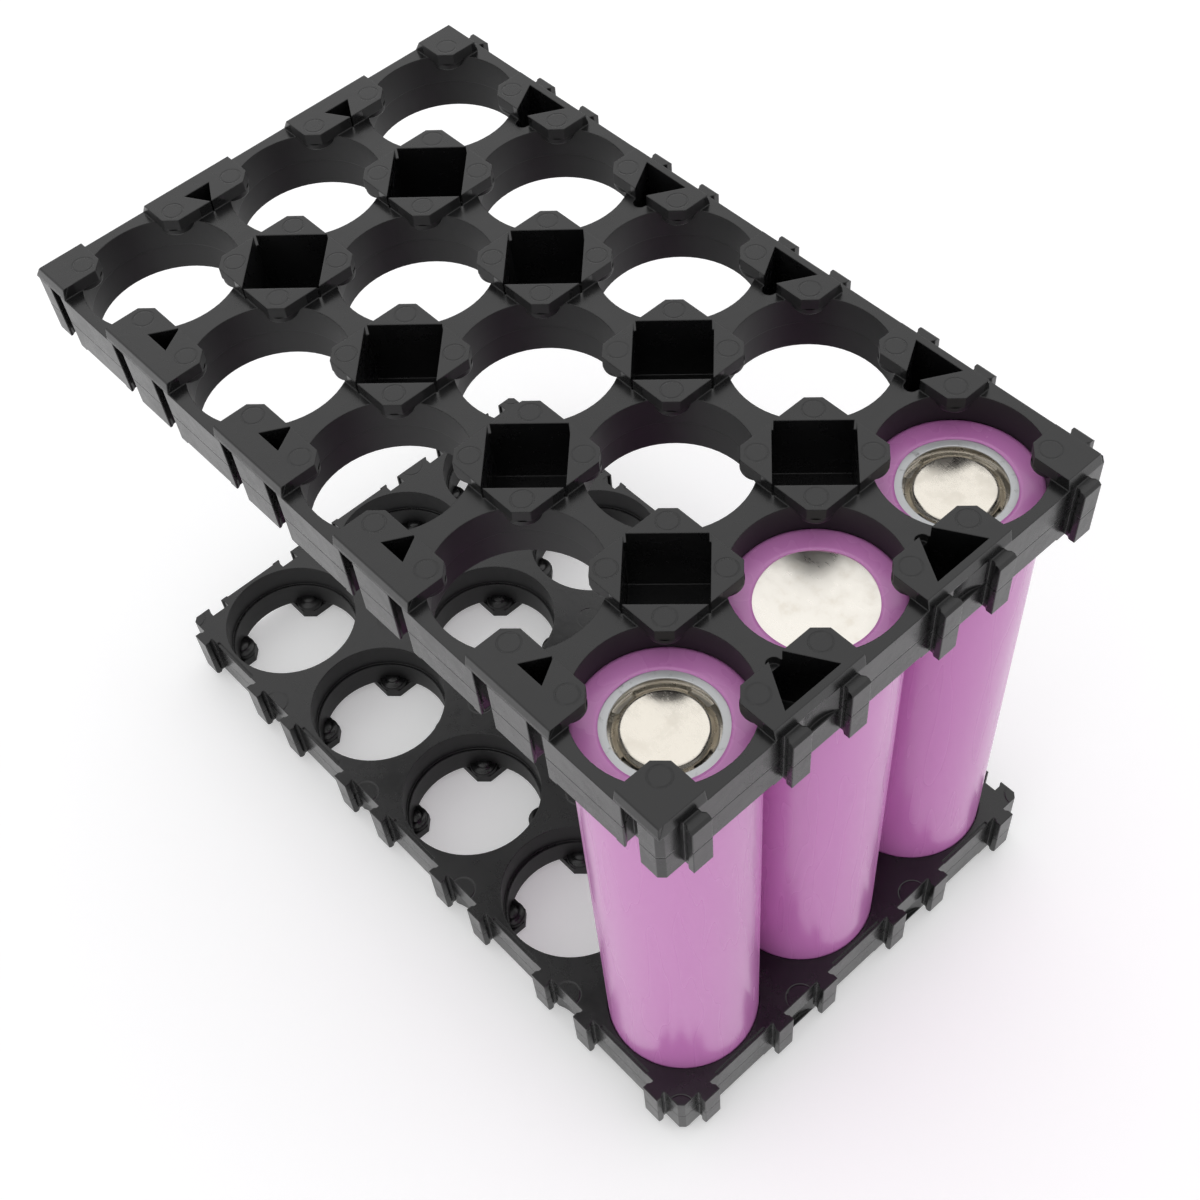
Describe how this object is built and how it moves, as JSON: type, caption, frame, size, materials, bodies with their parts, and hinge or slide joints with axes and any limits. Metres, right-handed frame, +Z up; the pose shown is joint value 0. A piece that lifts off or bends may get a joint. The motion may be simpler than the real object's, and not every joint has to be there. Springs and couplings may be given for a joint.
{
  "type": "battery cell holder bracket",
  "caption": "Pair of black moulded snap-together brackets spaced by a row of wrapped cylindrical cells, with open sockets, square wells and dovetail prongs along two walls.",
  "frame": {"origin": "middle of the foot of the lower bracket, at the height of the faces it stands on", "axes": "+X along the five columns of sockets, towards the cells; +Y along the three rows; +Z up, along the cells"},
  "size_m": [0.1024, 0.0634, 0.0754],
  "materials": {
    "black_plastic": "satin",
    "shrink_wrap": "gloss",
    "steel_can": "satin",
    "insulator_card": "matte",
    "nickel_cap": "satin"
  },
  "bodies": {
    "root": {"upper_bracket": "black_plastic", "lower_bracket": "black_plastic", "cell_1_can": "steel_can", "cell_1_wrap": "shrink_wrap", "cell_1_insulator": "insulator_card", "cell_1_cap": "nickel_cap", "cell_2_can": "steel_can", "cell_2_wrap": "shrink_wrap", "cell_2_insulator": "insulator_card", "cell_2_cap": "nickel_cap", "cell_3_can": "steel_can", "cell_3_wrap": "shrink_wrap", "cell_3_insulator": "insulator_card", "cell_3_cap": "nickel_cap"}
  },
  "joints": []
}
